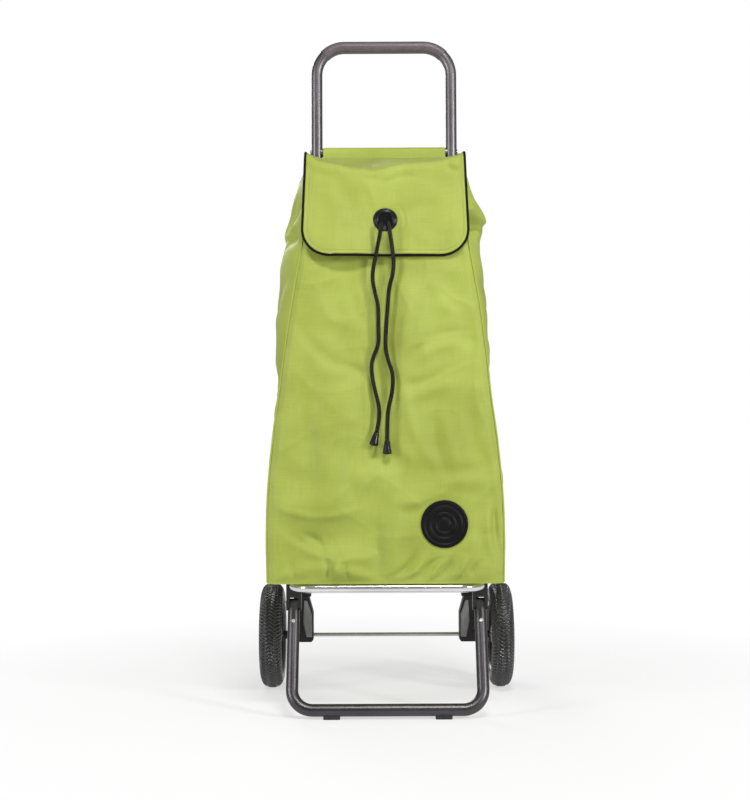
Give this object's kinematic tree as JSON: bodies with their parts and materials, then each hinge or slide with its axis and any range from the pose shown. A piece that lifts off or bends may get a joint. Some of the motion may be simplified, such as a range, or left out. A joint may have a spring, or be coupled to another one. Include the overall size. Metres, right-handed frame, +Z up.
{
  "type": "pull-along shopping trolley",
  "caption": "Two-wheeled shopping trolley: a tapered fabric bag with a flap and drawstring, on a tube frame with a fold-up hoop and front foot.",
  "frame": {"origin": "on the floor, under the middle of the footprint", "axes": "+Z up; +X to the right of someone who faces the front of the bag; -Y towards that person"},
  "size_m": [0.396, 0.336, 1.04],
  "materials": {
    "frame_tube": "satin dark grey anodised tube",
    "soft_grip": "thin matt sleeve",
    "bright_tube": "polished",
    "steel": "zinc plated",
    "black_plastic": "moulded black nylon",
    "grey_plastic": "moulded grey",
    "tyre": "black foam rubber with a chevron tread",
    "rim_plastic": "moulded black",
    "bush_plastic": "white acetal",
    "bag_fabric": "lime green woven polyester",
    "piping": "black woven binding",
    "cord": "black braid",
    "trim_plastic": "black moulded trim",
    "badge_plastic": "black moulded badge",
    "pad_rubber": "black rubber"
  },
  "bodies": {
    "frame": {"handle_tube": "frame_tube", "handle_grip": "soft_grip", "top_crossbar": "frame_tube", "crossbar_rivets": "steel", "knuckle_right": "black_plastic", "knuckle_left": "black_plastic", "knuckle_cover_right": "grey_plastic", "knuckle_cover_left": "grey_plastic", "leg_bolts": "steel", "hoop_pivot_pins": "steel", "axle": "steel", "axle_spacers": "black_plastic", "axle_end_caps": "black_plastic", "bag_body": "bag_fabric", "hanger_sleeve": "bag_fabric", "drawstring": "cord", "badge": "badge_plastic"},
    "platform": {"support_hoop": "bright_tube", "hoop_end_plugs": "black_plastic", "foot_clamp_right": "black_plastic", "foot_clamp_left": "black_plastic", "foot_pivot_pins": "steel"},
    "foot": {"foot_tube": "frame_tube", "foot_fitting_right": "black_plastic", "foot_fitting_left": "black_plastic", "foot_rivets": "steel", "foot_pad_right": "pad_rubber", "foot_pad_left": "pad_rubber"},
    "wheel_right": {"tyre_right": "tyre", "rim_right": "rim_plastic", "hub_bush_right": "bush_plastic"},
    "wheel_left": {"tyre_left": "tyre", "rim_left": "rim_plastic", "hub_bush_left": "bush_plastic"},
    "flap": {"flap_panel": "bag_fabric", "flap_piping": "piping", "eyelet_front": "trim_plastic", "eyelet_back": "trim_plastic", "cord_left_top": "cord", "cord_right_top": "cord"},
    "cords": {"cord_left": "cord", "cord_right": "cord", "cord_end_left": "trim_plastic", "cord_end_right": "trim_plastic"}
  },
  "joints": [
    {"name": "wheel_right_spin", "type": "hinge", "parent": "frame", "child": "wheel_right", "pos_m": [0.181, 0.0855, 0.0825], "axis": [1, 0, 0], "continuous": true},
    {"name": "wheel_left_spin", "type": "hinge", "parent": "frame", "child": "wheel_left", "pos_m": [-0.181, 0.0855, 0.0825], "axis": [1, 0, 0], "continuous": true},
    {"name": "platform_fold", "type": "hinge", "parent": "frame", "child": "platform", "pos_m": [0, 0.0395, 0.183], "axis": [-1, 0, 0], "range_deg": [0, 88], "deforming": ["bag_body"]},
    {"name": "foot_fold", "type": "hinge", "parent": "platform", "child": "foot", "pos_m": [0, -0.0835, 0.155], "axis": [1, 0, 0], "range_deg": [0, 116.2]},
    {"name": "flap_open", "type": "hinge", "parent": "frame", "child": "flap", "pos_m": [0, 0.10912, 0.847], "axis": [-1, 0, 0], "range_deg": [0, 96]},
    {"name": "cord_swing", "type": "hinge", "parent": "flap", "child": "cords", "pos_m": [0, -0.0798, 0.667], "axis": [-1, 0, 0], "range_deg": [-96.1, 0]}
  ],
  "couplings": [
    {"joint": "foot_fold", "follows": "platform_fold", "ratio": 1.32},
    {"joint": "cord_swing", "follows": "flap_open", "ratio": -1}
  ]
}
